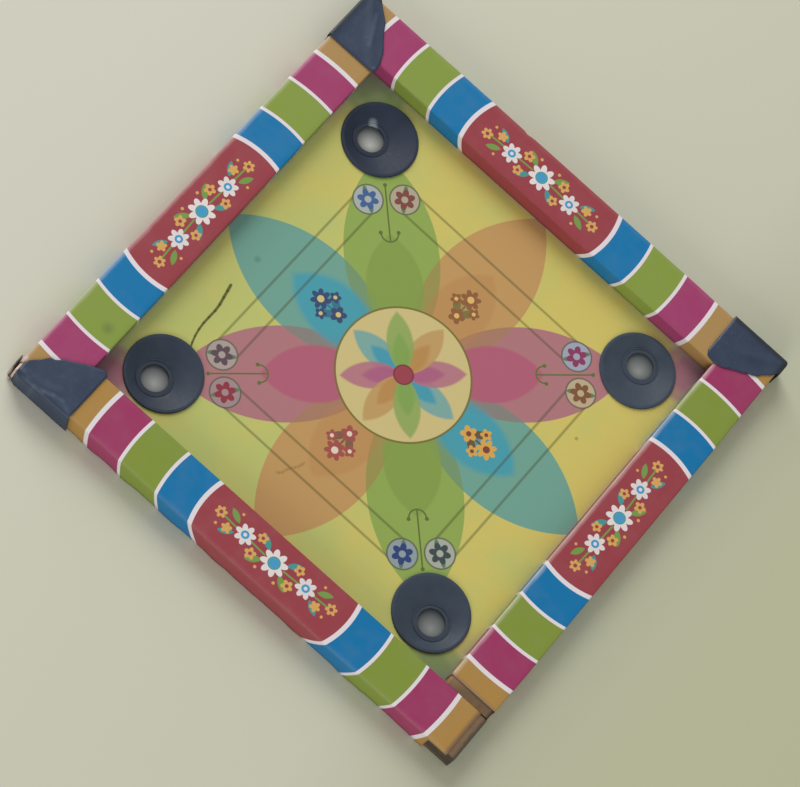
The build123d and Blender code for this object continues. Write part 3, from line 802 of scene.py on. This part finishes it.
plate_reach = 0.042  # before the plate is cut to its outline
bend_room = 0.0036  # beside each fold, for its arris
skirt_step, plate_step = 0.0028, 0.0018
plate_sag, ridge_width = 0.0006, 0.0035
sag_inset, sag_depth = 0.006, 0.002  # how far in from the fold and down it the sag fades
skirt_wave, wave_drop = 0.0007, 0.004  # the waves start this far down
curl_along, curl_across = 0.0045, 0.006
slant_run = 0.010
for corner, form in guard_forms.items():
    whole = corner != "near_left"  # the near left guard has lost the short skirt round its end
    start, stand = form["start"], form["stand"]
    levels = [*stations(guard_low.z, guard_high.z - bend_room, skirt_step), guard_high.z]
    fold = [(-stand, z) for z in levels]
    fold += [(y, guard_high.z) for y in stations(bend_room - stand, plate_reach, plate_step)]
    places = stations(start, form["end"], plate_step)
    if whole:
        places = [start, *stations(start + bend_room, form["end"], plate_step)]
    cap = folded_strip(fold, places)
    plate_edge = [
        edge for edge in cap.edges
        if all(vert.co.x < start + tolerance for vert in edge.verts)
        and all(vert.co.z > guard_high.z - tolerance for vert in edge.verts)
    ]
    for vert in cap.verts:
        if vert.co.z > guard_high.z - tolerance:
            reach = reach_at(form["outline"], vert.co.x)
            share = max(0.0, (vert.co.y + stand - bend_room) / (plate_reach + stand - bend_room))
            torn = form["ragged"] * noise.noise(Vector((vert.co.x * 400, 0.4, 1.3)))
            vert.co.y += share * (reach - plate_reach + torn)
    if whole:
        for higher, lower in zip(levels[::-1], levels[::-1][1:]):
            grown = bmesh.ops.extrude_edge_only(cap, edges=plate_edge)["geom"]
            plate_edge = [part for part in grown if isinstance(part, bmesh.types.BMEdge)]
            moved = [part for part in grown if isinstance(part, bmesh.types.BMVert)]
            bmesh.ops.translate(cap, verts=moved, vec=(0, 0, lower - higher))
        bmesh.ops.remove_doubles(cap, verts=cap.verts, dist=1e-5)
    bends = []
    for edge in cap.edges:
        at_top = all(vert.co.z > guard_high.z - tolerance for vert in edge.verts)
        at_side = all(vert.co.y < -stand + tolerance for vert in edge.verts)
        at_start = all(vert.co.x < start + tolerance for vert in edge.verts)
        if len(edge.link_faces) == 2 and at_top + at_side + at_start > 1:
            bends.append(edge)
    round_off(cap, bends, form["arris"], 3)
    # The plate sags beside its ridge, and the outer skirt is a little wavy.
    for vert in cap.verts:
        on_plate = min(1.0, max(0.0, (vert.co.z - guard_high.z + sag_depth) / sag_depth))
        seen = Vector((vert.co.x, vert.co.y, 0))
        nearest = min(
            (seen - Vector((*root, 0)).lerp(Vector((*tip, 0)), share / 8)).length
            for root, tip in zip(form["ridge"], form["ridge"][1:]) for share in range(9)
        )
        inset = min(1.0, (vert.co.y + stand) / sag_inset)
        vert.co.z -= plate_sag * on_plate * inset * (1 - math.exp(-((nearest / ridge_width) ** 2)))
        by_start = max(0.0, 1 - (vert.co.x - start) / curl_along)
        by_skirt = max(0.0, 1 - (vert.co.y + stand) / curl_across)
        by_end = max(0.0, 1 - (form["end"] - vert.co.x) / slant_run)
        drop = (guard_high.z - vert.co.z) / guard_high.z
        if vert.co.z < guard_high.z - wave_drop and vert.co.y < -stand + 1e-5:
            wave = noise.noise(Vector((vert.co.x * 60, vert.co.z * 30, 2.1)))
            vert.co.y += skirt_wave * (0.5 + 0.5 * wave)
        vert.co.y += form.get("curl", 0.0) * by_start**2 * by_skirt
        vert.co.x += form.get("slant", 0.0) * by_end * drop
    bmesh.ops.translate(cap, verts=cap.verts, vec=(-frame_half, -frame_half, 0))
    piece = as_piece(cap, f"{corner}_guard_cap", guard_plastic, form["turn"], guard_wall)
    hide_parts(f"{corner}_corner_guard")

# The near left guard has split down its corner.  A strip of the short skirt still stands there,
# joined to the long one near the floor and leaning out above it.
sliver_plan = [
    (-0.2040, -0.1915), (-0.2040, -0.1945), (-0.2040, -0.1975), (-0.2040, -0.2010),
    (-0.2040, -0.2032), (-0.2032, -0.2042), (-0.2012, -0.2044),
]
sliver_top, sliver_step = 0.0192, 0.0031
sliver_foot, sliver_lean = 0.0003, 0.0013  # how far in its foot stands, and how far its top leans out
torn_start, torn_run = -0.1985, 0.0045  # along it, where its top falls away to the corner
top_drop, torn_drop = 0.0015, 0.0150
sliver = folded_strip([(y, -x) for x, y in sliver_plan], stations(guard_low.z, sliver_top, sliver_step))
bmesh.ops.rotate(sliver, verts=sliver.verts, matrix=Matrix.Rotation(math.radians(-90), 3, "Y"))
for vert in sliver.verts:
    height = (vert.co.z - guard_low.z) / (sliver_top - guard_low.z)
    by_corner = min(1.0, max(0.0, (torn_start - vert.co.y) / torn_run))
    vert.co.x += sliver_foot - sliver_lean * height
    vert.co.z -= height * (top_drop + torn_drop * by_corner)
piece = as_piece(sliver, "near_left_guard_sliver", guard_plastic, 0, guard_wall)
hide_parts("near_left_corner_guard")

# ---------------------------------------------------------------------------------------------
# Studio: a pale floor with painted shade and light, a large soft lamp beyond the far left corner with a
# low one beside it, a weaker one on the near side, and even room light.
# ---------------------------------------------------------------------------------------------
floor_half = 6.0
ground_shape = bmesh.new()
bmesh.ops.create_grid(ground_shape, x_segments=1, y_segments=1, size=floor_half)
floor_mesh = bpy.data.meshes.new("floor")
ground_shape.to_mesh(floor_mesh)
ground_shape.free()
floor = bpy.data.objects.new("floor", floor_mesh)
bpy.context.scene.collection.objects.link(floor)
# Matt emulsion paint with painted shade that deepens towards the right, a painted shadow under the
# board, and painted pools of light under the pocket holes.
floor_paint_with_painted_shade, tree = material("matt emulsion paint with painted shade")
place = add(tree, "TexCoord").outputs["Object"]
plane = add(tree, "VectorMath", {0: place, 1: (1000, 1000, 0)}, operation="MULTIPLY")
parts = add(tree, "SeparateXYZ", {0: plane})
# Painted shade: the paint darkens towards the right, most steeply beside the board.
share = add(tree, "MapRange", {"Value": parts.outputs["X"], **above(0, 1.0, 300)})
paint = add(tree, "ValToRGB", {"Fac": share})
paint.color_ramp.elements[0].color = linear("cbc9ba")
paint.color_ramp.elements[1].color = linear("b5b697")
for station, code in ((0.33, "c6c5b2"), (0.70, "c2c2ae"), (0.84, "b8b9a1")):
    paint.color_ramp.elements.new(station).color = linear(code)
either_way = add(tree, "VectorMath", {0: plane}, operation="ABSOLUTE")
halves = add(tree, "SeparateXYZ", {0: either_way})
out = add(tree, "Math", {0: halves.outputs["X"], 1: halves.outputs["Y"]}, operation="MAXIMUM")
# Painted shadow on the floor under the board.
painted_shadow_under_board = add(tree, "MapRange", {"Value": out, **below(182.5, 1.0, 2.5)})
# Painted pools of light on the floor under the four pocket holes.
painted_light_under_holes = {
    (-128.6, 119.5): "b4b4ae",
    (126.7, 128.3): "8c8f8c",
    (132.9, -133.2): "8c8f8c",
    (-126.3, -134.2): "a2a4a0",
}
painted_light_radius = 6.0
shaded = coloured(tree, paint, [
    (painted_shadow_under_board, linear("4c5052")),
    *[
        (spot(tree, plane, middle, painted_light_radius, 1.0, painted_light_radius), linear(grey))
        for middle, grey in painted_light_under_holes.items()
    ],
])
surface(tree, {"Base Color": shaded, "Roughness": 0.9, "Specular IOR Level": 0.2})
floor_mesh.materials.append(floor_paint_with_painted_shade)

lamps = {
    "key lamp": {"from": (-2.95, 2.85, 3.5), "size": 3.0, "power": 159.0},
    "low lamp": {"from": (-3.7, 2.3, 1.3), "size": 1.5, "power": 48.0},
    "fill lamp": {"from": (0.9, -3.9, 1.5), "size": 2.8, "power": 85.0},
}
for name, lamp_form in lamps.items():
    lamp_data = bpy.data.lights.new(name, "AREA")
    lamp_data.shape = "DISK"
    lamp_data.size = lamp_form["size"]
    lamp_data.energy = lamp_form["power"]
    lamp = bpy.data.objects.new(name, lamp_data)
    lamp.location = lamp_form["from"]
    lamp.rotation_euler = (-lamp.location).to_track_quat("-Z", "Y").to_euler()
    bpy.context.scene.collection.objects.link(lamp)

world = bpy.data.worlds.new("room")
bpy.context.scene.world = world
world.use_nodes = True
room_light = world.node_tree.nodes["Background"]
room_light.inputs["Color"].default_value = linear("ffffff")
room_light.inputs["Strength"].default_value = 0.45

bpy.context.scene.view_settings.view_transform = "Standard"
